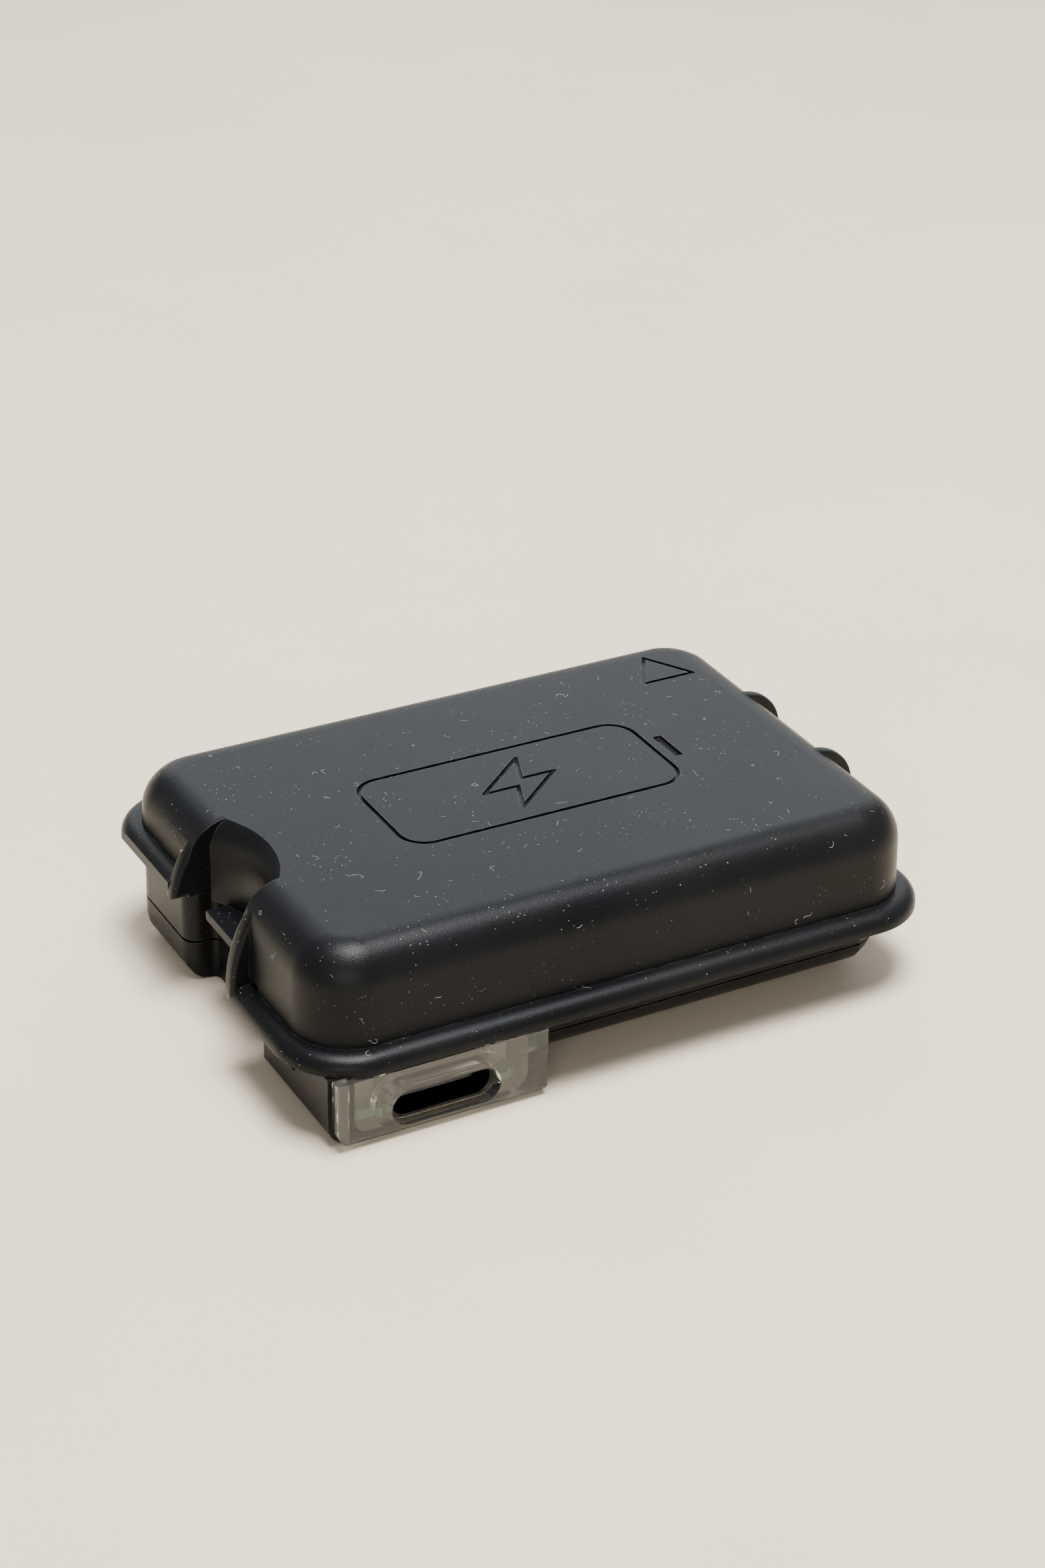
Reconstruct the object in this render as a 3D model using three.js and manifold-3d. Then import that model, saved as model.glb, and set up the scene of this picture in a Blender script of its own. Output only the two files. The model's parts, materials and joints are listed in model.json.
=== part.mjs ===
// Sealed rechargeable battery pack for a headlamp: a two-part moulded casing round a flat lithium cell,
// with a USB-C charging port behind a clear light window. Millimetres, +Z up. The origin is the middle
// of the bottom face. +X runs along the long side, the port faces -Y, and the latch channel is at -X.
import * as THREE from "three";
import { mergeVertices } from "three/addons/utils/BufferGeometryUtils.js";
import Module from "manifold-3d";

const wasm = await Module();
wasm.setup();

// Driving dimensions
const GAP = 0.3;
const WALL = 1.3;
const CURVE_STEPS = 9;
const FAR = 40;
const UNDER = -1;

const body = {
  halfX: 26.6,
  halfY: 18.4,
  corner: 4.8,
  top: 15.1,
  topEdge: 3.2,
  draftDeg: 3,
};
const tub = {
  halfX: 25.9,
  halfY: 17.6,
  corner: 3.2,
  endEdge: 1.9,
  farCorner: 6.0,
  farEdge: 4.6,
  frontEdge: 5.6,
  backEdge: 4.6,
  wall: 1.1,
  floor: 0.9,
};
const split = { z: 3.5, gap: 0.2 };
const flange = {
  halfX: 27.88,
  halfY: 19.88,
  height: 1.42,
  nearZ: 6.0,
  farZ: 9.1,
  edge: 1.15,
  edgeOut: 1.5,
  fromY: 6.1,
};
const fin = {
  innerY: 5.0,
  outerY: 6.4,
  centreX: 22.3,
  centreZ: 6.8,
  radiusX: 5.62,
  radiusZ: 8.5,
  farZ: 8.85,
  reach: 27.65,
  edge: 0.42,
  edgeSteps: 3,
};
const lug = { centreX: 24.2, centreZ: 11.25, radius: 3.6, outerY: 6.0, edge: 0.25, recess: 0.4 };
const scoop = { centreX: -31.2, radius: 8.4, bottom: 8.05, flareZ: 12.7, flareRadius: 3.2, flareDeg: 56 };
const recess = { top: 8.05, floorX: 23.4, halfY: 6.6, cornerIn: 0.6, cornerOut: 1.3 };
const ledge = { halfY: 3.9, outX: 25.5, top: 8.05, lip: 0.75, root: 1.5 };
const port = {
  x: -16.6,
  z: 2.4,
  slotW: 9.1,
  slotH: 3.0,
  shellW: 8.94,
  shellH: 3.16,
  shellWall: 0.3,
  mouthY: -18.8,
  depth: 7.3,
  clearance: 0.3,
};
const tongue = { halfW: 3.34, halfT: 0.35, setback: 0.9, corner: 0.5, rearInset: 0.7, rearDepth: 1.6 };
const finger = { count: 12, pitch: 0.5, halfW: 0.12, thick: 0.08, air: 0.02, setback: 1.2, stripDepth: 0.4 };
const pane = {
  x0: -25.6,
  bodyX0: -24.4,
  x1: -8.1,
  frontY: -19.9,
  plate: 0.9,
  backY: -13.2,
  top: 5.9,
  wall: 1.2,
  front: 1.6,
  floor: 0.7,
  bottomEdge: 1.1,
  sideEdge: 2.0,
  cavityEdge: 1.2,
  collar: 0.75,
  collarW: 2,
  collarH: 1.6,
  tipRound: 0.3,
  portAir: 0.2,
};
const board = {
  z: 1.2,
  thickness: 0.8,
  x0: -21.8,
  x1: 22.2,
  halfY: 12.3,
  tabX0: -23.3,
  tabX1: -9.9,
  tabFrontY: -17.45,
  tabBackY: -9.2,
};
const cell = { x0: -20.6, x1: 22.4, halfY: 15.8, z0: 5.9, z1: 12.9, edge: 1.3, corner: 2.0 };
const flap = { reach: 1.1, inset: 1.5, rise: 0.5, thick: 0.4 };
const tape = { thick: 0.08, air: 0.12, reach: 1.2, rise: 1.3, height: 3.7, halfY: 13.5 };

const pad = { x0: -19, x1: 21, corner: 1, boardHalfY: 12, boardZ: 4.15, topHalfY: 14, lidGap: 0.1 };
const tab = { y: 9, halfWidth: 2, thick: 0.12, reach: 1.4, rise: 1.05, foot: 1.2 };
const seal = { gap: 0.15, halfHeight: 0.45, endWidth: 0.4, sideWidth: 1.4, corner: 2.2, cutX: -19, cutY: 9 };

const contactNames = ["positive_contact", "data_contact", "negative_contact"];
const contactPlaces = [
  [18.5, 7],
  [18.5, 0],
  [18.5, -7],
];
const contactSize = { halfX: 2.2, halfY: 1.6, low: 0.25, slack: 0.1, rim: 0.6, corner: 0.4 };
const boss = { radius: 1.1, gap: 0.02 };
const bossPlaces = [
  [-19, 9.5],
  [-5, 10],
  [8, 10],
  [8, -10],
];
const engraving = {
  halfX: 12.5,
  halfY: 5.6,
  radius: 2.4,
  width: 0.36,
  depth: 0.28,
  tipNear: 0.7,
  tipFar: 1.5,
  tipHalf: 1.8,
  bolt: [
    [1.6, 3.6],
    [-3.4, -0.5],
    [-0.4, -0.5],
    [-1.6, -3.6],
    [3.4, 0.5],
    [0.4, 0.5],
  ],
  corner: [
    [17.4, 10.3],
    [22.2, 10.3],
    [19.8, 14.4],
  ],
};

const boardTop = board.z + board.thickness;
const solder = 0.05;
const seat = 0.05;
const coil = { x: -4, y: -2.5, base: 4, baseHeight: 0.8, radius: 1.9, height: 1.1 };

// Materials
function plain(colour, roughness, metalness = 0) {
  return new THREE.MeshStandardMaterial({ color: colour, roughness, metalness });
}

const blackPlastic = plain(0x1d1e20, 0.55);
const clearPlastic = new THREE.MeshStandardMaterial({
  color: 0xd9dbd6,
  roughness: 0.12,
  metalness: 0,
  transparent: true,
  opacity: 0.35,
});
const steel = plain(0xb4b6b8, 0.3, 1);
const gold = plain(0xc9a24d, 0.28, 1);
const nickel = plain(0xbfc1bd, 0.3, 1);
const boardGreen = plain(0x2f6b3c, 0.45);
const blackResin = plain(0x131415, 0.5);
const whiteResin = plain(0xd8d8d2, 0.4);
const foilSilver = plain(0xa9abac, 0.35, 0.9);
const amberTape = plain(0xb5792a, 0.3);
const greyFoam = plain(0x3d3f42, 0.95);
const ceramicTan = plain(0x9a7a56, 0.5);
const ferrite = plain(0x33353a, 0.7);
const sealRubber = plain(0x26282b, 0.85);

// What is soldered to the board: name, x, y, length, width, height, material
const chips = [
  ["status_led_left", -22.2, -15.6, 2.0, 1.4, 1.6, whiteResin],
  ["status_led_right", -10.95, -15.6, 1.7, 1.4, 1.6, whiteResin],
  ["charge_controller", -10, 3.5, 4, 4, 0.9, blackResin],
  ["protection_controller", 8, -6, 2.9, 1.6, 1.0, blackResin],
  ["power_switch", 13, -6, 3, 3, 0.9, blackResin],
  ["regulator", 3, 5, 3, 3, 0.9, blackResin],
  ["input_capacitor", -8, -7, 3.2, 1.6, 1.2, ceramicTan],
  ["output_capacitor", -4, 3.2, 3.2, 1.6, 1.2, ceramicTan],
  ["cell_capacitor", 13, 2, 2, 1.25, 0.9, ceramicTan],
  ["cc_resistor_a", -15, -7.5, 1.6, 0.8, 0.45, blackResin],
  ["cc_resistor_b", -18, -7.5, 1.6, 0.8, 0.45, blackResin],
  ["sense_resistor", 17.5, -6, 3.2, 1.6, 0.6, blackResin],
  ["thermistor", 14, 6, 1.6, 0.8, 0.8, blackResin],
];

// Geometry helpers: every shape is a three.js geometry, and manifold-3d only joins and cuts.
function solidOf(geometry) {
  const bare = geometry.clone();
  bare.deleteAttribute("normal");
  bare.deleteAttribute("uv");
  const merged = mergeVertices(bare, 1e-4);
  const mesh = new wasm.Mesh({
    numProp: 3,
    vertProperties: new Float32Array(merged.attributes.position.array),
    triVerts: new Uint32Array(merged.index.array),
  });
  return new wasm.Manifold(mesh);
}

function geometryOf(solid) {
  const mesh = solid.getMesh();
  const geometry = new THREE.BufferGeometry();
  geometry.setAttribute("position", new THREE.BufferAttribute(mesh.vertProperties, 3));
  geometry.setIndex(new THREE.BufferAttribute(mesh.triVerts, 1));
  geometry.computeVertexNormals();
  return geometry;
}

function joined(...solids) {
  return solids.reduce((whole, next) => whole.add(next));
}

function without(solid, ...cutters) {
  return cutters.reduce((left, cutter) => left.subtract(cutter), solid);
}

function block(x0, x1, y0, y1, z0, z1) {
  const geometry = new THREE.BoxGeometry(x1 - x0, y1 - y0, z1 - z0);
  geometry.translate((x0 + x1) / 2, (y0 + y1) / 2, (z0 + z1) / 2);
  return solidOf(geometry);
}

function roundedRectangle(x0, x1, y0, y1, radius) {
  const shape = new THREE.Shape();
  shape.absarc(x1 - radius, y1 - radius, radius, 0, Math.PI / 2);
  shape.absarc(x0 + radius, y1 - radius, radius, Math.PI / 2, Math.PI);
  shape.absarc(x0 + radius, y0 + radius, radius, Math.PI, Math.PI * 1.5);
  shape.absarc(x1 - radius, y0 + radius, radius, Math.PI * 1.5, Math.PI * 2);
  shape.closePath();
  return shape;
}

// Extrudes an outline along +Z between two heights; an edge rounds the rims at both ends.
function upright(shape, z0, z1, edge = 0, steps = CURVE_STEPS, edgeSteps = CURVE_STEPS, edgeOut = edge) {
  const geometry = new THREE.ExtrudeGeometry(shape, {
    depth: z1 - z0 - 2 * edge,
    curveSegments: steps,
    bevelEnabled: edge > 0,
    bevelThickness: edge,
    bevelSize: edgeOut,
    bevelOffset: -edgeOut,
    bevelSegments: edgeSteps,
  });
  geometry.translate(0, 0, z0 + edge);
  return geometry;
}

// Extrudes an outline drawn in X and Z across a span of Y.
function acrossY(shape, y0, y1, edge = 0, steps = CURVE_STEPS, edgeSteps = 2) {
  const geometry = upright(shape, -y1, -y0, edge, steps, edgeSteps);
  geometry.rotateX(Math.PI / 2);
  return geometry;
}

// Extrudes an outline drawn in Y and Z along a span of X.
function alongX(shape, x0, x1, edge = 0, steps = CURVE_STEPS, edgeSteps = 2) {
  const geometry = upright(shape, x0, x1, edge, steps, edgeSteps);
  const axes = new THREE.Matrix4().makeBasis(
    new THREE.Vector3(0, 1, 0),
    new THREE.Vector3(0, 0, 1),
    new THREE.Vector3(1, 0, 0),
  );
  geometry.applyMatrix4(axes);
  return geometry;
}

function plateSolid(x0, x1, y0, y1, z0, z1, radius) {
  return solidOf(upright(roundedRectangle(x0, x1, y0, y1, radius), z0, z1, 0, 3));
}

// Draws the plan in with height above a level, as a mould's draft does.
function drafted(geometry, fromZ, degrees, halfX, halfY) {
  const slope = Math.tan(THREE.MathUtils.degToRad(degrees));
  const position = geometry.attributes.position;
  for (let i = 0; i < position.count; i += 1) {
    const inset = Math.max(0, position.getZ(i) - fromZ) * slope;
    position.setX(i, position.getX(i) * (1 - inset / halfX));
    position.setY(i, position.getY(i) * (1 - inset / halfY));
  }
  return geometry;
}

// Shape above the flange: drafted walls with a rounded top edge. A wall insets it all round.
function upperBlock(inset, z0, cornerSteps = 9, edgeSteps = 7) {
  const halfX = body.halfX - inset;
  const halfY = body.halfY - inset;
  const edge = body.topEdge - inset;
  const shape = roundedRectangle(-halfX, halfX, -halfY, halfY, body.corner - inset);
  const high = body.top - inset;
  const tall = upright(shape, 2 * z0 - high, high, edge, cornerSteps, edgeSteps);
  const whole = solidOf(drafted(tall, z0, body.draftDeg, halfX, halfY));
  return whole.intersect(block(-FAR, FAR, -FAR, FAR, z0, FAR));
}

// Shape below the flange: a shallow tub with wide rounded long edges and tighter end edges.
function tubBlock(inset, floor, z1, cornerSteps = 7, edgeSteps = 4, sideSteps = 8) {
  const halfX = tub.halfX - inset;
  const halfY = tub.halfY - inset;
  const endEdge = Math.max(tub.endEdge - inset, 0.4);
  const high = 2 * body.top;
  const nearPlan = roundedRectangle(-halfX, halfX, -halfY, halfY, tub.corner - inset);
  const farPlan = roundedRectangle(-halfX, halfX, -halfY, halfY, tub.farCorner - inset);
  const nearEnd = solidOf(upright(nearPlan, floor, high, endEdge, cornerSteps, edgeSteps));
  const farEnd = solidOf(upright(farPlan, floor, high, tub.farEdge - inset, cornerSteps, edgeSteps + 3));
  const ends = joined(
    nearEnd.intersect(block(-FAR, 0, -FAR, FAR, -1, FAR)),
    farEnd.intersect(block(0, FAR, -FAR, FAR, -1, FAR)),
  );
  const shrink = Math.max(inset, floor);
  const front = tub.frontEdge - shrink;
  const back = tub.backEdge - shrink;
  const section = new THREE.Shape();
  section.moveTo(-halfY, high);
  section.absarc(front - halfY, floor + front, front, Math.PI, Math.PI * 1.5);
  section.absarc(halfY - back, floor + back, back, Math.PI * 1.5, Math.PI * 2);
  section.lineTo(halfY, high);
  section.closePath();
  const sides = solidOf(alongX(section, -halfX - 1, halfX + 1, 0, sideSteps));
  return ends.intersect(sides).intersect(block(-FAR, FAR, -FAR, FAR, floor - 1, z1));
}

// The finger scoop between the fins: upright below, flaring out into the top face.
function scoopCutter(grow, segments = 72, steps = 7) {
  const radius = scoop.radius + grow;
  const flare = scoop.flareRadius - grow;
  const low = scoop.bottom - grow;
  const points = [new THREE.Vector2(0, low), new THREE.Vector2(radius, low)];
  for (let i = 0; i <= steps; i += 1) {
    const angle = (i / steps) * THREE.MathUtils.degToRad(scoop.flareDeg);
    const r = radius + flare * (1 - Math.cos(angle));
    points.push(new THREE.Vector2(r, scoop.flareZ + flare * Math.sin(angle)));
  }
  points.push(new THREE.Vector2(0, points[points.length - 1].y));
  const lathe = new THREE.LatheGeometry(points, segments);
  lathe.rotateX(Math.PI / 2);
  lathe.translate(scoop.centreX, 0, 0);
  const halfY = fin.innerY + grow;
  return solidOf(lathe).intersect(block(-FAR, 0, -halfY, halfY, 0, FAR));
}

// The wider recess below the scoop, with rounded mouth corners where it meets the end wall.
function recessCutter(grow, z0, z1) {
  const floorX = -recess.floorX + grow;
  const half = recess.halfY + grow;
  const mouthX = -tub.halfX;
  const round = recess.cornerOut;
  const inner = recess.cornerIn;
  const shape = new THREE.Shape();
  shape.moveTo(mouthX - 5, -half - round);
  shape.lineTo(mouthX, -half - round);
  shape.absarc(mouthX + round, -half - round, round, Math.PI, Math.PI / 2, true);
  shape.absarc(floorX - inner, -half + inner, inner, -Math.PI / 2, 0);
  shape.absarc(floorX - inner, half - inner, inner, 0, Math.PI / 2);
  shape.absarc(mouthX + round, half + round, round, -Math.PI / 2, -Math.PI, true);
  shape.lineTo(mouthX - 5, half + round);
  shape.closePath();
  return solidOf(upright(shape, z0, z1, 0, 5));
}

// One run of the sealing flange: rounded on top, with a square lower rim, on one side of the channel.
function flangeBand(bottomZ, side) {
  const { halfX, halfY, height, edge, edgeOut } = flange;
  const radius = body.corner + halfX - body.halfX;
  const shape = roundedRectangle(-halfX, halfX, -halfY, halfY, radius);
  const top = bottomZ + height;
  const whole = solidOf(upright(shape, bottomZ - height, top, edge, 11, 6, edgeOut));
  const near = side < 0 ? -FAR : flange.fromY;
  const far = side < 0 ? -flange.fromY : FAR;
  return whole.intersect(block(-FAR, FAR, near, far, bottomZ, FAR));
}

function finSolid(side, bottomZ) {
  const shape = new THREE.Shape();
  const low = Math.asin((bottomZ - fin.centreZ) / fin.radiusZ);
  const high = Math.asin((body.top - fin.centreZ) / fin.radiusZ);
  const rootX = -fin.centreX + 1;
  shape.moveTo(rootX, bottomZ);
  const steps = 14;
  for (let i = 0; i <= steps; i += 1) {
    const angle = low + ((high - low) * i) / steps;
    const x = -fin.centreX - fin.radiusX * Math.cos(angle);
    shape.lineTo(x, fin.centreZ + fin.radiusZ * Math.sin(angle));
  }
  shape.lineTo(rootX, body.top);
  shape.closePath();
  const y0 = side < 0 ? -fin.outerY : fin.innerY;
  const y1 = side < 0 ? -fin.innerY : fin.outerY;
  return solidOf(acrossY(shape, y0, y1, fin.edge, CURVE_STEPS, fin.edgeSteps));
}

function lugSolid(side, bottomZ) {
  const shape = new THREE.Shape();
  const outX = lug.centreX + lug.radius;
  shape.moveTo(lug.centreX - 1, bottomZ);
  shape.lineTo(outX, bottomZ);
  shape.absarc(lug.centreX, lug.centreZ, lug.radius, 0, Math.PI / 2);
  shape.lineTo(lug.centreX - 1, lug.centreZ + lug.radius);
  shape.closePath();
  const y0 = side < 0 ? -lug.outerY : fin.innerY;
  const y1 = side < 0 ? -fin.innerY : lug.outerY;
  return solidOf(acrossY(shape, y0, y1, lug.edge, 10));
}

function ledgeSolid() {
  const shape = new THREE.Shape();
  const rootX = -recess.floorX + 0.6;
  shape.moveTo(rootX, ledge.top - ledge.root);
  shape.lineTo(rootX, ledge.top);
  shape.lineTo(-ledge.outX, ledge.top);
  shape.lineTo(-ledge.outX, ledge.top - ledge.lip);
  shape.closePath();
  return solidOf(acrossY(shape, -ledge.halfY, ledge.halfY, 0.1, 2, 1));
}

// Space taken by the clear window, with a margin, so the casing can make room for it.
function windowRoom(margin) {
  const x1 = pane.x1 + margin;
  return block(-FAR, x1, -FAR, pane.backY + margin, -1, flange.nearZ);
}

// The end wall runs on past the rounded corner as a cheek that backs the window's left edge.
function cheek() {
  const x1 = pane.bodyX0 - GAP / 2;
  const y0 = pane.frontY + pane.plate + GAP / 2;
  const seam = split.z - split.gap / 2;
  const low = block(-tub.halfX, x1, y0, pane.backY + tub.wall, 0, seam);
  const high = block(-tub.halfX, x1, y0, pane.backY, seam - seat, flange.nearZ - seat);
  const section = roundedRectangle(-tub.halfX, FAR, 0, FAR, tub.endEdge);
  return joined(low, high).intersect(solidOf(acrossY(section, -FAR, FAR, 0, 5)));
}

// A groove of even width cut into the top face along straight runs between points.
function grooveCutter(points, width, depth) {
  const runs = points.slice(1).map((end, i) => {
    const start = points[i];
    const bar = new THREE.BoxGeometry(start.distanceTo(end) + width, width, depth * 2);
    const middle = start.clone().add(end).multiplyScalar(0.5);
    bar.rotateZ(Math.atan2(end.y - start.y, end.x - start.x));
    bar.translate(middle.x, middle.y, body.top);
    return solidOf(bar);
  });
  return joined(...runs);
}

// A rounded rectangular groove centred on the top face.
function frameGroove(halfX, halfY, radius, width, depth) {
  const outer = roundedRectangle(-halfX, halfX, -halfY, halfY, radius);
  const inX = halfX - width;
  const inY = halfY - width;
  const inner = roundedRectangle(-inX, inX, -inY, inY, radius - width);
  outer.holes.push(new THREE.Path(inner.getPoints(6)));
  return solidOf(upright(outer, body.top - depth, body.top + depth, 0, 6));
}

// Plain pictograms: a battery outline with a bolt in the middle, and a small triangle in a corner.
function topEngraving() {
  const { halfX, halfY, radius, width, depth, tipNear, tipFar, tipHalf } = engraving;
  const bolt = engraving.bolt.map(([x, y]) => new THREE.Vector2(x, y));
  const tip = new THREE.Shape([
    new THREE.Vector2(halfX + tipNear, -tipHalf),
    new THREE.Vector2(halfX + tipFar, -tipHalf),
    new THREE.Vector2(halfX + tipFar, tipHalf),
    new THREE.Vector2(halfX + tipNear, tipHalf),
  ]);
  const corner = engraving.corner.map(([x, y]) => new THREE.Vector2(x, y));
  return [
    frameGroove(halfX, halfY, radius, width, depth),
    solidOf(upright(tip, body.top - depth, body.top + depth)),
    grooveCutter([...bolt, bolt[0]], width, depth),
    grooveCutter([...corner, corner[0]], width, depth),
  ];
}

// Both shapes above the joint: drafted above each run of the flange, and the tub's outline below it.
function casingBody(upperInset, tubInset, tubFloor, blockSteps, tubSteps) {
  const drafting = upperBlock(upperInset, flange.nearZ, ...blockSteps);
  const near = block(-FAR, FAR, -FAR, flange.fromY, flange.nearZ, FAR);
  const far = block(-FAR, FAR, flange.fromY, FAR, flange.farZ, FAR);
  const overlap = 0.5;
  const lowNear = tubBlock(tubInset, tubFloor, flange.nearZ + overlap, ...tubSteps);
  const lowFar = tubBlock(tubInset, tubFloor, flange.farZ + overlap, ...tubSteps);
  return joined(
    drafting.intersect(near),
    drafting.intersect(far),
    lowNear,
    lowFar.intersect(block(-FAR, FAR, flange.fromY, FAR, -1, FAR)),
  );
}

// Casing
function upperCasing() {
  const flat = block(-FAR, FAR, -FAR, FAR, split.z + split.gap / 2, FAR);
  const lugRecess = block(body.halfX - lug.recess, FAR, -fin.innerY, fin.innerY, 0, FAR);
  const underFin = recessCutter(0, UNDER, fin.farZ).intersect(block(-FAR, 0, fin.innerY, FAR, 0, FAR));
  const outer = without(
    casingBody(0, 0, 0, [9, 7], [7, 4, 8]),
    recessCutter(0, UNDER, recess.top),
    underFin,
    scoopCutter(0),
    lugRecess,
  ).intersect(flat);
  const finReach = block(-fin.reach, FAR, -FAR, FAR, 0, FAR);
  const added = joined(
    outer,
    without(flangeBand(flange.nearZ, -1), scoopCutter(0)),
    flangeBand(flange.farZ, 1).intersect(finReach),
    finSolid(-1, flange.nearZ),
    finSolid(1, fin.farZ),
    lugSolid(-1, flange.nearZ),
    lugSolid(1, flange.farZ),
    ledgeSolid(),
  );
  const hollow = without(
    casingBody(WALL, tub.wall, tub.floor, [4, 3], [4, 2, 4]),
    recessCutter(tub.wall, UNDER, recess.top + WALL),
    scoopCutter(WALL, 36, 4),
  );
  return without(added, hollow, windowRoom(GAP), ...topEngraving());
}

function lowerCasing() {
  const outer = tubBlock(0, 0, split.z - split.gap / 2);
  const hollow = without(
    tubBlock(tub.wall, tub.floor, split.z + 1, 4, 2, 4),
    recessCutter(tub.wall, UNDER, 10),
  );
  const pocket = portRoom(port.clearance, tub.floor / 2);
  const contacts = contactPlaces.map(([x, y]) => {
    const { halfX, halfY, slack } = contactSize;
    return block(x - halfX - slack, x + halfX + slack, y - halfY - slack, y + halfY + slack, -1, board.z);
  });
  const bosses = bossPlaces.map(([x, y]) => {
    const low = tub.floor / 2;
    const high = board.z - boss.gap;
    const post = new THREE.CylinderGeometry(boss.radius, boss.radius, high - low, 16);
    post.rotateX(Math.PI / 2);
    post.translate(x, y, (high + low) / 2);
    return solidOf(post);
  });
  const shell = without(outer, recessCutter(0, UNDER, 10), hollow, pocket, windowRoom(GAP), ...contacts);
  return joined(shell, cheek(), ...bosses);
}

// Port and window
function slotShape(width, height) {
  return roundedRectangle(
    port.x - width / 2,
    port.x + width / 2,
    port.z - height / 2,
    port.z + height / 2,
    height / 2 - 0.01,
  );
}

function chargeWindow() {
  const plan = new THREE.Shape();
  const round = pane.tipRound;
  plan.moveTo(pane.bodyX0, pane.backY);
  plan.lineTo(pane.bodyX0, pane.frontY + pane.plate);
  plan.lineTo(pane.x0, pane.frontY + pane.plate);
  plan.absarc(pane.x0 + round, pane.frontY + round, round, Math.PI, Math.PI * 1.5);
  plan.lineTo(pane.x1, pane.frontY);
  plan.lineTo(pane.x1, pane.backY);
  plan.closePath();
  const outer = solidOf(upright(plan, 0, pane.top, 0, 5));
  const high = pane.top * 3;
  const front = roundedRectangle(pane.frontY, pane.backY + 20, 0, high, pane.bottomEdge);
  const left = roundedRectangle(pane.x0, pane.x1 + 20, 0, high, pane.sideEdge);
  const shaped = outer
    .intersect(solidOf(alongX(front, -FAR, FAR, 0, 5)))
    .intersect(solidOf(acrossY(left, -FAR, FAR, 0, 6)));
  const inner = roundedRectangle(
    pane.bodyX0 + pane.wall / 2,
    pane.x1 - pane.wall,
    pane.floor,
    high,
    pane.cavityEdge,
  );
  const hollow = solidOf(acrossY(inner, pane.frontY + pane.front, 0, 0, 5));
  const collar = solidOf(
    acrossY(
      slotShape(port.slotW + pane.collarW, port.slotH + pane.collarH),
      pane.frontY + pane.front / 2,
      pane.frontY + pane.front + pane.collar,
      0,
      6,
    ),
  ).intersect(block(-FAR, FAR, -FAR, FAR, pane.floor / 2, FAR));
  const stepY = port.mouthY - seat;
  const tunnel = solidOf(acrossY(slotShape(port.slotW, port.slotH), -FAR, stepY + 0.1, 0, 8));
  const bore = slotShape(port.shellW + pane.portAir, port.shellH + pane.portAir);
  const socket = solidOf(acrossY(bore, stepY, 0, 0, 8));
  return without(joined(without(shaped, hollow), collar), tunnel, socket);
}

// Space round the port's shell, from a level upwards.
function portRoom(margin, z0) {
  const half = port.shellW / 2 + margin;
  return block(port.x - half, port.x + half, -FAR, port.mouthY + port.depth + margin, z0, FAR);
}

function usbShell() {
  const back = port.mouthY + port.depth;
  const wall = port.shellWall;
  const outer = acrossY(slotShape(port.shellW, port.shellH), port.mouthY, back, 0, 8);
  const inner = slotShape(port.shellW - 2 * wall, port.shellH - 2 * wall);
  return without(solidOf(outer), solidOf(acrossY(inner, port.mouthY - 1, back + 1, 0, 8)));
}

// The tongue carries the contacts; its rear block closes the shell.
function usbTongue() {
  const back = port.mouthY + port.depth;
  const { halfW, halfT, setback, corner, rearInset, rearDepth } = tongue;
  const plan = roundedRectangle(
    port.x - halfW,
    port.x + halfW,
    port.mouthY + setback,
    back - rearDepth / 2,
    corner,
  );
  const rear = slotShape(port.shellW - rearInset, port.shellH - rearInset);
  return joined(
    solidOf(upright(plan, port.z - halfT, port.z + halfT, 0, 3)),
    solidOf(acrossY(rear, back - rearDepth, back - seat, 0, 6)),
  );
}

// Twelve contact fingers joined by a common strip behind them.
function usbContacts(side) {
  const { count, pitch, halfW, thick, air, setback, stripDepth } = finger;
  const near = port.mouthY + setback;
  const far = port.mouthY + port.depth - tongue.rearDepth - GAP / 2;
  const offset = tongue.halfT + air;
  const low = side > 0 ? port.z + offset : port.z - offset - thick;
  const high = low + thick;
  const reach = (count * pitch) / 2 - seat;
  const strip = block(port.x - reach, port.x + reach, far - stripDepth, far, low, high);
  const fingers = Array.from({ length: count }, (_, i) => {
    const x = port.x + (i - (count - 1) / 2) * pitch;
    return block(x - halfW, x + halfW, near, far - stripDepth / 2, low, high);
  });
  return joined(strip, ...fingers);
}

// Circuit board and what is soldered to it
function circuitBoard() {
  const { z, thickness, x0, x1, halfY, tabX0, tabX1, tabFrontY, tabBackY } = board;
  const main = plateSolid(x0, x1, -halfY, halfY, z, z + thickness, 1);
  const portWing = plateSolid(tabX0, tabX1, tabFrontY, tabBackY, z, z + thickness, 0.5);
  const notch = portRoom(port.clearance / 2, -FAR);
  return without(joined(main, portWing), notch);
}

function chip(x, y, sizeX, sizeY, height) {
  const z = boardTop + solder;
  const corners = [
    [-1, -1],
    [1, -1],
    [1, 1],
    [-1, 1],
  ];
  const shape = new THREE.Shape(
    corners.map(([i, j]) => new THREE.Vector2(x + (i * sizeX) / 2, y + (j * sizeY) / 2)),
  );
  return solidOf(upright(shape, z, z + height, 0.08, 1, 1));
}

function inductor() {
  const { x, y, base, baseHeight, radius, height } = coil;
  const drum = new THREE.CylinderGeometry(radius, radius, height, 24);
  drum.rotateX(Math.PI / 2);
  drum.translate(x, y, boardTop + solder + height / 2);
  return joined(chip(x, y, base, base, baseHeight), solidOf(drum));
}

// Cell pack
function batteryCell() {
  const { x0, x1, halfY, z0, z1, edge, corner } = cell;
  const pouch = upright(roundedRectangle(x0, x1, -halfY, halfY, corner), z0, z1, edge, 4, 3);
  const flapHalf = halfY - flap.inset;
  const low = z0 + flap.rise;
  const fold = block(x1 - 1, x1 + flap.reach, -flapHalf, flapHalf, low, low + flap.thick);
  return joined(solidOf(pouch), fold);
}

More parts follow.
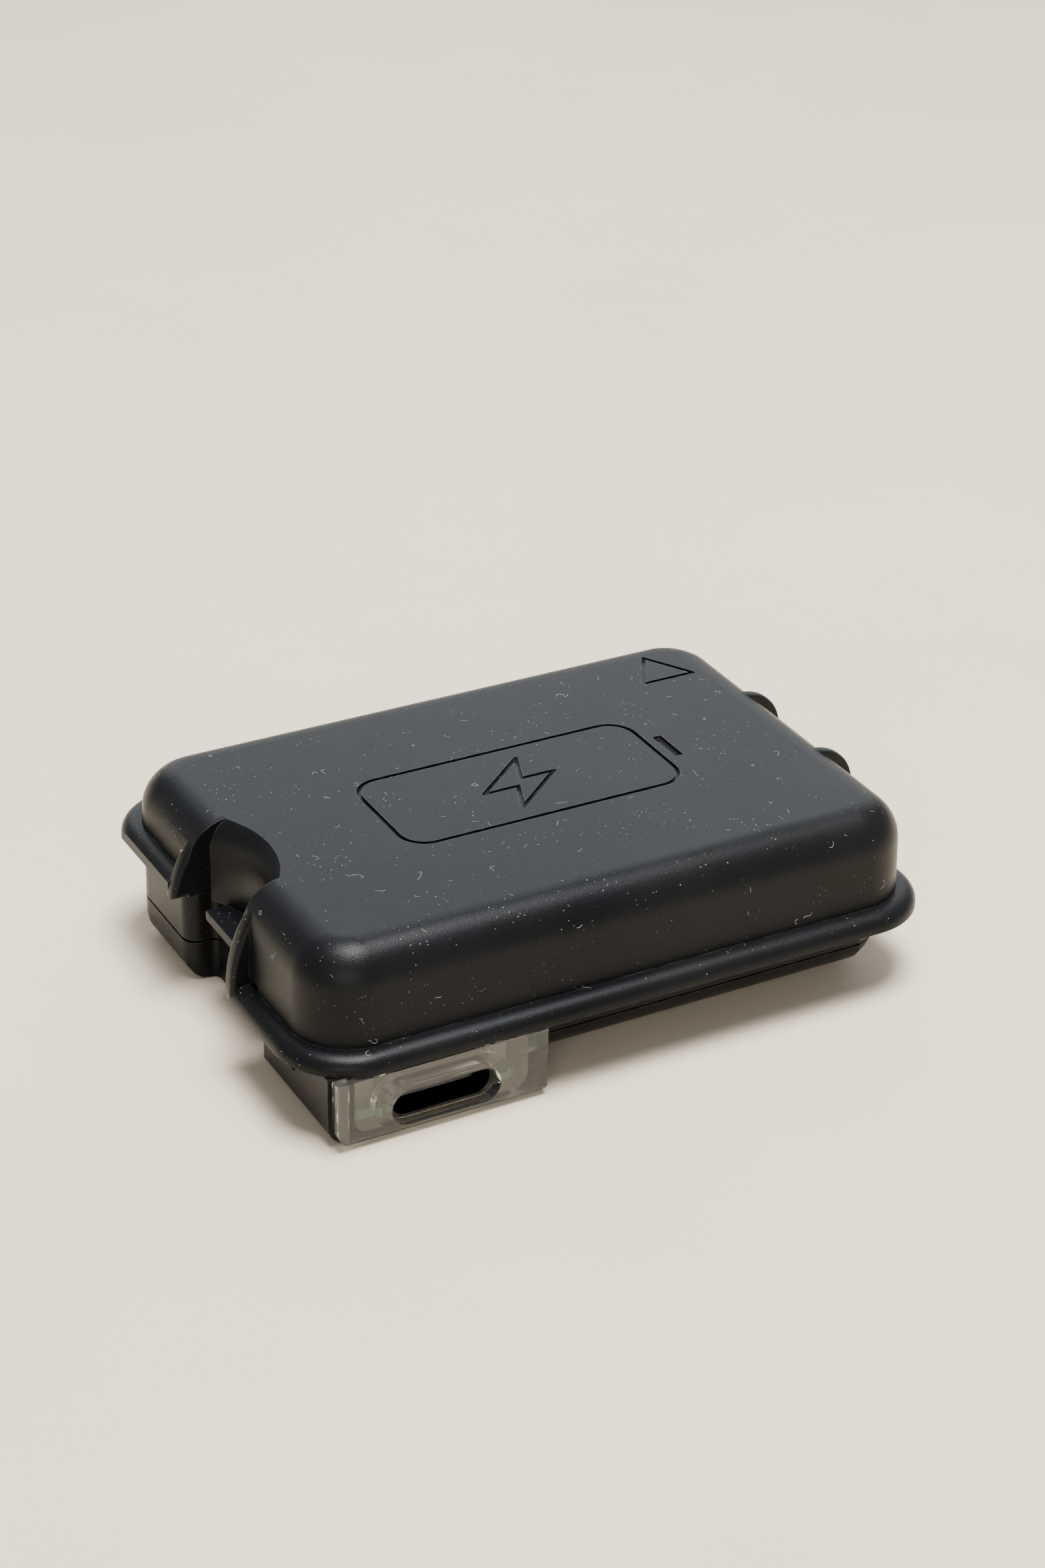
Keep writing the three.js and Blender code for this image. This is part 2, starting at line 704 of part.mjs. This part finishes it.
// A tab leaves the cell over its end flap and turns down to the board.
function cellTab(y) {
  const { thick, reach, rise, foot, halfWidth } = tab;
  const high = cell.z0 + rise;
  const outX = cell.x1 + reach;
  const low = boardTop + solder;
  const shape = new THREE.Shape();
  shape.moveTo(cell.x1 + GAP / 2, high);
  shape.lineTo(outX - thick, high);
  shape.lineTo(outX - thick, low + thick);
  shape.lineTo(cell.x1 - foot, low + thick);
  shape.lineTo(cell.x1 - foot, low);
  shape.lineTo(outX, low);
  shape.lineTo(outX, high + thick);
  shape.lineTo(cell.x1 + GAP / 2, high + thick);
  shape.closePath();
  return solidOf(acrossY(shape, y - halfWidth, y + halfWidth));
}

function edgeTape() {
  const { thick, air, reach, rise, height, halfY } = tape;
  const nearX = cell.x1 + air;
  const low = cell.z0 + rise;
  const shape = new THREE.Shape();
  shape.moveTo(nearX, low);
  shape.lineTo(cell.x1 + reach, low);
  shape.lineTo(cell.x1 + reach, low + thick);
  shape.lineTo(nearX + thick, low + thick);
  shape.lineTo(nearX + thick, low + height);
  shape.lineTo(nearX, low + height);
  shape.closePath();
  return solidOf(acrossY(shape, -halfY, halfY));
}

function foamPad(halfY, z0, z1) {
  return plateSolid(pad.x0, pad.x1, -halfY, halfY, z0, z1, pad.corner);
}

function contactPad(x, y) {
  const { halfX, halfY, low, rim, corner } = contactSize;
  const wideX = halfX + rim;
  const wideY = halfY + rim;
  const high = board.z - seat;
  return joined(
    plateSolid(x - halfX, x + halfX, y - halfY, y + halfY, low, high - seat, corner),
    block(x - wideX, x + wideX, y - wideY, y + wideY, tub.floor + seat, high),
  );
}

// A seal ring that lies just inside the joint between the two casings.
function seamSeal() {
  const inset = tub.wall + seal.gap;
  const low = split.z - seal.halfHeight;
  const high = split.z + seal.halfHeight;
  const outer = tubBlock(inset, tub.floor, FAR).intersect(block(-FAR, FAR, -FAR, FAR, low, high));
  const halfX = tub.halfX - inset - seal.endWidth;
  const halfY = tub.halfY - inset - seal.sideWidth;
  const shape = roundedRectangle(-halfX, halfX, -halfY, halfY, seal.corner);
  const inner = solidOf(upright(shape, 0, FAR, 0, 6));
  const kept = without(outer, inner, recessCutter(inset, UNDER, FAR), windowRoom(GAP + 1));
  return without(kept, block(-FAR, seal.cutX, -FAR, seal.cutY, 0, FAR));
}

const object = new THREE.Group();

function place(name, solid, material) {
  const mesh = new THREE.Mesh(geometryOf(solid), material);
  mesh.name = name;
  object.add(mesh);
}

place("upper_casing", upperCasing(), blackPlastic);
place("lower_casing", lowerCasing(), blackPlastic);
place("seam_seal", seamSeal(), sealRubber);
place("charge_window", chargeWindow(), clearPlastic);
place("usb_shell", usbShell(), steel);
place("usb_tongue", usbTongue(), blackResin);
place("usb_contacts_upper", usbContacts(1), gold);
place("usb_contacts_lower", usbContacts(-1), gold);
place("circuit_board", circuitBoard(), boardGreen);
chips.forEach(([name, x, y, sizeX, sizeY, height, material]) => {
  place(name, chip(x, y, sizeX, sizeY, height), material);
});
place("inductor", inductor(), ferrite);
place("battery_cell", batteryCell(), foilSilver);
place("positive_tab", cellTab(tab.y), nickel);
place("negative_tab", cellTab(-tab.y), nickel);
place("edge_tape", edgeTape(), amberTape);
place("board_pad", foamPad(pad.boardHalfY, pad.boardZ, cell.z0 - GAP / 2), greyFoam);
place("top_pad", foamPad(pad.topHalfY, cell.z1 + GAP / 2, body.top - WALL - pad.lidGap), greyFoam);
contactPlaces.forEach(([x, y], i) => place(contactNames[i], contactPad(x, y), nickel));

export default object;
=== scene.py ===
"""Looks of the headlamp battery pack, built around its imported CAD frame. Metres, +Z up."""

import json
import math
import random

import bmesh
import bpy
from mathutils import Matrix, Vector
from mathutils.bvhtree import BVHTree


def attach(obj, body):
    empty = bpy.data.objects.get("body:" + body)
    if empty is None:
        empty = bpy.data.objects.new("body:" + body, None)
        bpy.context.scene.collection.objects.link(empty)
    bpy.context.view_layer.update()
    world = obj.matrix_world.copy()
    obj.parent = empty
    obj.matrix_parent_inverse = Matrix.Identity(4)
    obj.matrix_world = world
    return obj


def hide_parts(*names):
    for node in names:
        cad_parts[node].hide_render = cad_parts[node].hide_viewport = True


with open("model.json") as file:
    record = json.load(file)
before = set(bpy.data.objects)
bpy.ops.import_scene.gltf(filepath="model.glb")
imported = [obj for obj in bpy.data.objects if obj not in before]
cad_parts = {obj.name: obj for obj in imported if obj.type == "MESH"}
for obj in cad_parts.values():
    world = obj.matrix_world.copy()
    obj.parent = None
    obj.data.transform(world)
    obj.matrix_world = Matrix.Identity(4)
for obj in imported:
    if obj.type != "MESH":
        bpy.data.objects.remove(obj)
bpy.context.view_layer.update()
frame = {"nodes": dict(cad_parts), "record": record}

MM = 0.001
BODY = "root"
WELD = 0.004 * MM  # points closer than this are one point
FLAT_ANGLE = 0.4  # degrees: flatter joins between faces are dissolved
EDGE_ANGLE = 32.0  # degrees: sharper edges get a moulded radius
SHARP_ANGLE = 40  # degrees: sharper edges stay sharp in shading
LINT_COUNT = 150
LINT_SEED = 11
LINT_LOW = 4 * MM  # no lint settles below this height
LINT_LIFT = 0.05 * MM
TRIES_PER_SPOT = 9
FLOOR_GAP = 0.02 * MM


# ---------------------------------------------------------------- materials
class Nodes:
    """A small helper that adds shader nodes to one material."""

    def __init__(self, name):
        self.material = bpy.data.materials.new(name)
        self.material.use_nodes = True
        self.tree = self.material.node_tree
        self.shader = self.tree.nodes["Principled BSDF"]
        self.place = self.add("ShaderNodeTexCoord").outputs["Object"]

    def add(self, kind, **settings):
        node = self.tree.nodes.new(kind)
        for key, value in settings.items():
            setattr(node, key, value)
        return node

    def link(self, a, b):
        self.tree.links.new(a, b)

    def noise(self, scale, detail=2.0, rough=0.5, stretch=None):
        node = self.add("ShaderNodeTexNoise")
        node.inputs["Scale"].default_value = scale
        node.inputs["Detail"].default_value = detail
        node.inputs["Roughness"].default_value = rough
        self.link(self.stretched(stretch), node.inputs["Vector"])
        return node.outputs["Fac"]

    def stretched(self, scale):
        if scale is None:
            return self.place
        node = self.add("ShaderNodeMapping")
        node.inputs["Scale"].default_value = scale
        self.link(self.place, node.inputs["Vector"])
        return node.outputs["Vector"]

    def cells(self, scale, feature="F1"):
        node = self.add("ShaderNodeTexVoronoi", feature=feature)
        node.inputs["Scale"].default_value = scale
        self.link(self.place, node.inputs["Vector"])
        return node.outputs

    def band(self, value, low, high, to_low=0.0, to_high=1.0):
        node = self.add("ShaderNodeMapRange")
        node.inputs["From Min"].default_value = low
        node.inputs["From Max"].default_value = high
        node.inputs["To Min"].default_value = to_low
        node.inputs["To Max"].default_value = to_high
        self.link(value, node.inputs["Value"])
        return node.outputs["Result"]

    def math(self, kind, a, b=None):
        node = self.add("ShaderNodeMath", operation=kind)
        for socket, value in zip(node.inputs, (a, b)):
            if value is None:
                continue
            if isinstance(value, (int, float)):
                socket.default_value = value
            else:
                self.link(value, socket)
        return node.outputs[0]

    def blend(self, amount, a, b):
        node = self.add("ShaderNodeMix", data_type="RGBA")
        self.link(amount, node.inputs["Factor"])
        for socket, value in zip((node.inputs["A"], node.inputs["B"]), (a, b)):
            socket = [s for s in node.inputs if s.name == socket.name and s.type == "RGBA"][0]
            if isinstance(value, tuple):
                socket.default_value = (*value, 1)
            else:
                self.link(value, socket)
        return [s for s in node.outputs if s.type == "RGBA"][0]

    def bump(self, height, depth, strength=1.0, normal=None):
        node = self.add("ShaderNodeBump")
        node.inputs["Strength"].default_value = strength
        node.inputs["Distance"].default_value = depth
        self.link(height, node.inputs["Height"])
        if normal is not None:
            self.link(normal, node.inputs["Normal"])
        return node.outputs["Normal"]


def set_values(shader, **values):
    for key, value in values.items():
        name = key.replace("_", " ")
        shader.inputs[name].default_value = value


def edge_mask(n, radius):
    """1 along convex edges, 0 on flats, from how far a rounded normal leaves the true one."""
    bevel = n.add("ShaderNodeBevel", samples=6)
    bevel.inputs["Radius"].default_value = radius
    plain = n.add("ShaderNodeNewGeometry").outputs["Normal"]
    dot = n.add("ShaderNodeVectorMath", operation="DOT_PRODUCT")
    n.link(bevel.outputs["Normal"], dot.inputs[0])
    n.link(plain, dot.inputs[1])
    return n.band(dot.outputs["Value"], 0.995, 0.93)


def dust_mask(n, scale, threshold):
    """Scattered specks, denser in drifts and on faces that look up."""
    cells = n.cells(scale)
    speck = n.band(cells["Distance"], threshold, threshold * 0.55)
    chance = n.band(n.noise(260, 2.0), 0.48, 0.66)
    colour = n.add("ShaderNodeSeparateColor")
    n.link(cells["Color"], colour.inputs["Color"])
    rare = n.band(colour.outputs["Red"], 0.86, 0.9)
    separate = n.add("ShaderNodeSeparateXYZ")
    n.link(n.add("ShaderNodeNewGeometry").outputs["Normal"], separate.inputs["Vector"])
    up = n.band(separate.outputs["Z"], -0.2, 0.8, 0.35, 1.0)
    return n.math("MULTIPLY", n.math("MULTIPLY", speck, rare), n.math("MULTIPLY", chance, up))


def casing_black():
    n = Nodes("casing_black")
    drift = n.noise(90, 3.0, 0.6)
    body = n.blend(n.band(drift, 0.3, 0.7), (0.0036, 0.0038, 0.0044), (0.0056, 0.0058, 0.0066))
    film = n.band(n.noise(38, 4.0, 0.62), 0.45, 0.75, 0.0, 0.14)
    dusted = n.blend(film, body, (0.03, 0.029, 0.028))
    patches = n.band(n.noise(900, 2.0), 0.4, 0.62, 0.15, 0.9)
    worn = n.math("MULTIPLY", edge_mask(n, 0.16 * MM), patches)
    edged = n.blend(n.math("MULTIPLY", worn, 0.5), dusted, (0.07, 0.07, 0.072))
    specks = n.math(
        "MAXIMUM",
        dust_mask(n, 3800, 0.24),
        dust_mask(n, 1500, 0.09),
    )
    n.link(n.blend(specks, edged, (0.3, 0.29, 0.27)), n.shader.inputs["Base Color"])
    grain = n.noise(11000, 2.0, 0.6)
    broad = n.noise(5200, 2.0, 0.5)
    grain_rough = n.band(grain, 0.3, 0.7, 0.26, 0.4)
    rough = n.math("ADD", grain_rough, n.band(drift, 0.3, 0.7, -0.02, 0.03))
    rough = n.math("ADD", rough, n.math("MULTIPLY", specks, 0.4))
    n.link(rough, n.shader.inputs["Roughness"])
    fine = n.bump(grain, 0.019 * MM, 0.9)
    height = n.bump(broad, 0.008 * MM, 0.5, fine)
    n.link(n.bump(specks, 0.03 * MM, 0.8, height), n.shader.inputs["Normal"])
    set_values(n.shader, IOR=1.45, Specular_IOR_Level=0.145)
    return n.material


def window_clear():
    n = Nodes("window_clear")
    n.shader.inputs["Base Color"].default_value = (0.66, 0.645, 0.605, 1)
    ripple = n.noise(420, 2.0)
    rough = n.band(n.noise(1500, 3.0, 0.6), 0.45, 0.75, 0.03, 0.13)
    n.link(rough, n.shader.inputs["Roughness"])
    fine = n.bump(n.noise(6000, 2.0), 0.002 * MM, 0.5)
    n.link(n.bump(ripple, 0.02 * MM, 0.35, fine), n.shader.inputs["Normal"])
    set_values(n.shader, Transmission_Weight=0.965, IOR=1.46)
    return n.material


def simple(
    name, light, dark, rough, metallic=0.0, grain=2500, depth=0.006, blotch=300, stretch=None
):
    """A plain surface with tone and roughness that vary and a fine bump."""
    n = Nodes(name)
    tone = n.noise(blotch, 4.0, 0.6, stretch)
    n.link(n.blend(n.band(tone, 0.3, 0.7), dark, light), n.shader.inputs["Base Color"])
    fine_tone = n.noise(blotch * 3, 3.0, 0.6, stretch)
    n.link(n.band(fine_tone, 0.3, 0.7, rough * 0.8, rough * 1.25), n.shader.inputs["Roughness"])
    n.link(n.bump(n.noise(grain, 2.0, 0.6, stretch), depth * MM, 0.7), n.shader.inputs["Normal"])
    set_values(n.shader, Metallic=metallic)
    return n.material


def board_green():
    n = Nodes("board_green")
    tone = n.noise(500, 3.0)
    green = n.blend(n.band(tone, 0.3, 0.7), (0.045, 0.26, 0.085), (0.07, 0.36, 0.13))
    weave = n.add("ShaderNodeTexBrick", offset=0.5)
    n.link(n.place, weave.inputs["Vector"])
    weave.inputs["Scale"].default_value = 420
    weave.inputs["Mortar Size"].default_value = 0.06
    tracks = n.blend(n.band(weave.outputs["Fac"], 0.0, 1.0, 0.0, 0.55), green, (0.06, 0.30, 0.11))
    n.link(tracks, n.shader.inputs["Base Color"])
    n.link(n.band(tone, 0.3, 0.7, 0.28, 0.42), n.shader.inputs["Roughness"])
    n.link(n.bump(weave.outputs["Fac"], 0.02 * MM, 0.5), n.shader.inputs["Normal"])
    return n.material


MATERIALS = {
    "casing_black": casing_black(),
    "window_clear": window_clear(),
    "seal_rubber": simple("seal_rubber", (0.035, 0.036, 0.039), (0.02, 0.021, 0.023), 0.7),
    "shell_steel": simple(
        "shell_steel", (0.12, 0.12, 0.124), (0.07, 0.07, 0.072), 0.3, 1.0,
        grain=1800, depth=0.004, blotch=400, stretch=(1, 0.12, 1),
    ),
    "contact_gold": simple("contact_gold", (0.78, 0.56, 0.2), (0.6, 0.42, 0.15), 0.25, 1.0),
    "contact_nickel": simple("contact_nickel", (0.62, 0.61, 0.58), (0.47, 0.46, 0.44), 0.3, 1.0),
    "board_green": board_green(),
    "resin_black": simple(
        "resin_black", (0.045, 0.045, 0.047), (0.028, 0.028, 0.03), 0.42, 0.0, 5000, 0.01
    ),
    "led_white": simple("led_white", (0.27, 0.27, 0.255), (0.19, 0.19, 0.18), 0.35),
    "ceramic_tan": simple("ceramic_tan", (0.4, 0.28, 0.17), (0.3, 0.2, 0.12), 0.45),
    "ferrite_grey": simple(
        "ferrite_grey", (0.07, 0.072, 0.08), (0.04, 0.041, 0.046), 0.6, 0.0, 4000, 0.02
    ),
    "pouch_foil": simple(
        "pouch_foil", (0.6, 0.61, 0.62), (0.45, 0.46, 0.47), 0.36, 0.9, 700, 0.05, 120
    ),
    "tape_amber": simple("tape_amber", (0.55, 0.24, 0.045), (0.42, 0.17, 0.03), 0.25),
    "foam_grey": simple(
        "foam_grey", (0.06, 0.062, 0.066), (0.03, 0.031, 0.033), 0.9, 0.0, 2600, 0.09
    ),
}


# ---------------------------------------------------------------- pieces
def finish_piece(obj, slot):
    obj.data.materials.clear()
    obj.data.materials.append(MATERIALS[slot])
    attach(obj, BODY)
    return obj


def softened(node, name, slot, width, segments=2):
    """A copy of a CAD node whose sharp edges get a small moulded radius."""
    source = frame["nodes"][node]
    mesh = source.data.copy()
    mesh.materials.clear()
    obj = bpy.data.objects.new(name, mesh)
    bpy.context.scene.collection.objects.link(obj)
    bm = bmesh.new()
    bm.from_mesh(mesh)
    bmesh.ops.remove_doubles(bm, verts=bm.verts, dist=WELD)
    bmesh.ops.dissolve_limit(
        bm, angle_limit=math.radians(FLAT_ANGLE), verts=bm.verts, edges=bm.edges, delimit={"NORMAL"}
    )
    bmesh.ops.recalc_face_normals(bm, faces=bm.faces)
    bm.to_mesh(mesh)
    bm.free()
    bevel = obj.modifiers.new("edge", "BEVEL")
    bevel.width = width * MM
    bevel.segments = segments
    bevel.limit_method = "ANGLE"
    bevel.angle_limit = math.radians(EDGE_ANGLE)
    bevel.use_clamp_overlap = True
    bevel.loop_slide = False
    mesh.polygons.foreach_set("use_smooth", [True] * len(mesh.polygons))
    mesh.set_sharp_from_angle(angle=math.radians(SHARP_ANGLE))
    weigh = obj.modifiers.new("normals", "WEIGHTED_NORMAL")
    weigh.keep_sharp = True
    weigh.weight = 80
    apply_modifiers(obj)
    finish_piece(obj, slot)
    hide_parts(node)
    return obj


def apply_modifiers(obj):
    graph = bpy.context.evaluated_depsgraph_get()
    made = bpy.data.meshes.new_from_object(obj.evaluated_get(graph))
    obj.modifiers.clear()
    obj.data = made


upper = softened("upper_casing", "upper_shell", "casing_black", 0.09)
softened("lower_casing", "lower_shell", "casing_black", 0.09)
softened("charge_window", "light_window", "window_clear", 0.15, 3)
softened("usb_shell", "port_shell", "shell_steel", 0.05)
softened("usb_tongue", "port_tongue", "resin_black", 0.08)


# ---------------------------------------------------------------- dust and lint
def outer_spots(obj, tree, rng, count, reach=0.02):
    """Points spread over the faces of obj that have open air in front of them."""
    mesh = obj.data
    mesh.calc_loop_triangles()
    corner = [v.co for v in mesh.vertices]
    faces = [t for t in mesh.loop_triangles if t.normal.z > -0.3]
    chosen = rng.choices(faces, weights=[t.area for t in faces], k=count * TRIES_PER_SPOT)
    spots = []
    for face in chosen:
        a, b, c = (corner[i] for i in face.vertices)
        u, v = rng.random(), rng.random()
        if u + v > 1:
            u, v = 1 - u, 1 - v
        spot = a + (b - a) * u + (c - a) * v
        normal = face.normal.copy()
        start = spot + normal * LINT_LIFT
        open_air = tree.ray_cast(start, normal, reach)[0] is None
        if spot.z > LINT_LOW and open_air and rng.random() < 0.3 + 0.7 * max(normal.z, 0):
            spots.append((spot, normal))
        if len(spots) == count:
            break
    return spots


def lint(obj, count, seed):
    """Short curled fibres that lie on the surface, as one mesh of thin tubes."""
    rng = random.Random(seed)
    tree = BVHTree.FromObject(obj, bpy.context.evaluated_depsgraph_get())
    vertices, faces = [], []
    for spot, normal in outer_spots(obj, tree, rng, count):
        radius = rng.uniform(0.007, 0.015) * MM
        steps = rng.choice((3, 4, 5, 6, 8, 10, 15))
        stride = rng.uniform(0.07, 0.15) * MM
        heading = normal.orthogonal().normalized()
        heading.rotate(Matrix.Rotation(rng.uniform(0, math.tau), 3, normal))
        curl = rng.gauss(0, 0.12)
        first = len(vertices)
        for step in range(steps):
            curl = curl * 0.8 + rng.gauss(0, 0.3)
            heading.rotate(Matrix.Rotation(curl, 3, normal))
            spot, normal = tree.find_nearest(spot + heading * stride)[:2]
            heading = (heading - normal * heading.dot(normal)).normalized()
            side = heading.cross(normal)
            taper = radius * (1 if 0 < step < steps - 1 else 0.45)
            middle = spot + normal * radius
            vertices += [middle + way * taper for way in (side, normal, -side, -normal)]
            if step:
                base = first + step * 4
                for k in range(4):
                    after = (k + 1) % 4
                    faces.append((base - 4 + k, base + k, base + after, base - 4 + after))
        last = len(vertices) - 4
        faces += [(first + 3, first + 2, first + 1, first), (last, last + 1, last + 2, last + 3)]
    mesh = bpy.data.meshes.new("surface_lint")
    mesh.from_pydata(vertices, [], faces)
    mesh.polygons.foreach_set("use_smooth", [True] * len(mesh.polygons))
    fibres = bpy.data.objects.new("surface_lint", mesh)
    bpy.context.scene.collection.objects.link(fibres)
    mesh.materials.append(simple("lint_grey", (0.5, 0.48, 0.44), (0.3, 0.29, 0.27), 0.8))
    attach(fibres, BODY)


lint(upper, LINT_COUNT, LINT_SEED)

SLOTS = {row["node"]: row["material_slot"] for row in frame["record"]["subparts"]}
for node_name, node in frame["nodes"].items():
    if node.hide_render:
        continue
    node.data.materials.clear()
    node.data.materials.append(MATERIALS[SLOTS[node_name]])

# ---------------------------------------------------------------- stage
floor_mesh = bpy.data.meshes.new("floor")
bm = bmesh.new()
bmesh.ops.create_grid(bm, x_segments=24, y_segments=24, size=1.6)
bm.to_mesh(floor_mesh)
bm.free()
floor = bpy.data.objects.new("floor", floor_mesh)
floor.location.z = -FLOOR_GAP
bpy.context.scene.collection.objects.link(floor)
n = Nodes("floor_pale")
n.link(
    n.blend(n.band(n.noise(14, 4.0, 0.6), 0.3, 0.7), (0.69, 0.585, 0.43), (0.74, 0.635, 0.48)),
    n.shader.inputs["Base Color"],
)
n.link(n.bump(n.noise(900, 3.0), 0.05 * MM, 0.4), n.shader.inputs["Normal"])
set_values(n.shader, Roughness=0.75)
floor_mesh.materials.append(n.material)


AIM = Vector((0, 0, 0.01))


def area_light(name, place, size, power, colour):
    data = bpy.data.lights.new(name, "AREA")
    data.shape = "RECTANGLE"
    data.size, data.size_y = size
    data.energy = power
    data.color = colour
    light = bpy.data.objects.new(name, data)
    light.location = place
    light.rotation_euler = (AIM - Vector(place)).to_track_quat("-Z", "Y").to_euler()
    bpy.context.scene.collection.objects.link(light)


area_light("overhead", (0.03, -0.04, 0.6), (0.3, 0.26), 10.2, (0.95, 0.975, 1.0))
area_light("back_sky", (0.42, 0.8, 0.5), (1.2, 0.7), 6.2, (0.93, 0.965, 1.0))
area_light("front_fill", (-0.45, -0.8, 0.4), (0.6, 0.4), 3.0, (1.0, 0.98, 0.95))

world = bpy.data.worlds.new("studio")
world.use_nodes = True
world.node_tree.nodes["Background"].inputs["Color"].default_value = (0.9, 0.95, 1.0, 1)
world.node_tree.nodes["Background"].inputs["Strength"].default_value = 0.4
bpy.context.scene.world = world

# ---------------------------------------------------------------- camera
AZIMUTH, ELEVATION, ROLL = -29.17, 28.985, 1.322  # degrees
SENSOR, LENS, NEAR = 36, 75.65, 0.01
CAMERA_PLACE = (-0.110825, -0.199051, 0.141126)
camera = bpy.data.objects.new("camera", bpy.data.cameras.new("camera"))
camera.data.sensor_width = SENSOR
camera.data.lens = LENS
camera.data.clip_start = NEAR
camera.location = CAMERA_PLACE
turn = (
    Matrix.Rotation(math.radians(AZIMUTH), 3, "Z")
    @ Matrix.Rotation(math.radians(90 - ELEVATION), 3, "X")
    @ Matrix.Rotation(math.radians(ROLL), 3, "Z")
)
camera.rotation_euler = turn.to_euler()
bpy.context.scene.collection.objects.link(camera)
bpy.context.scene.camera = camera
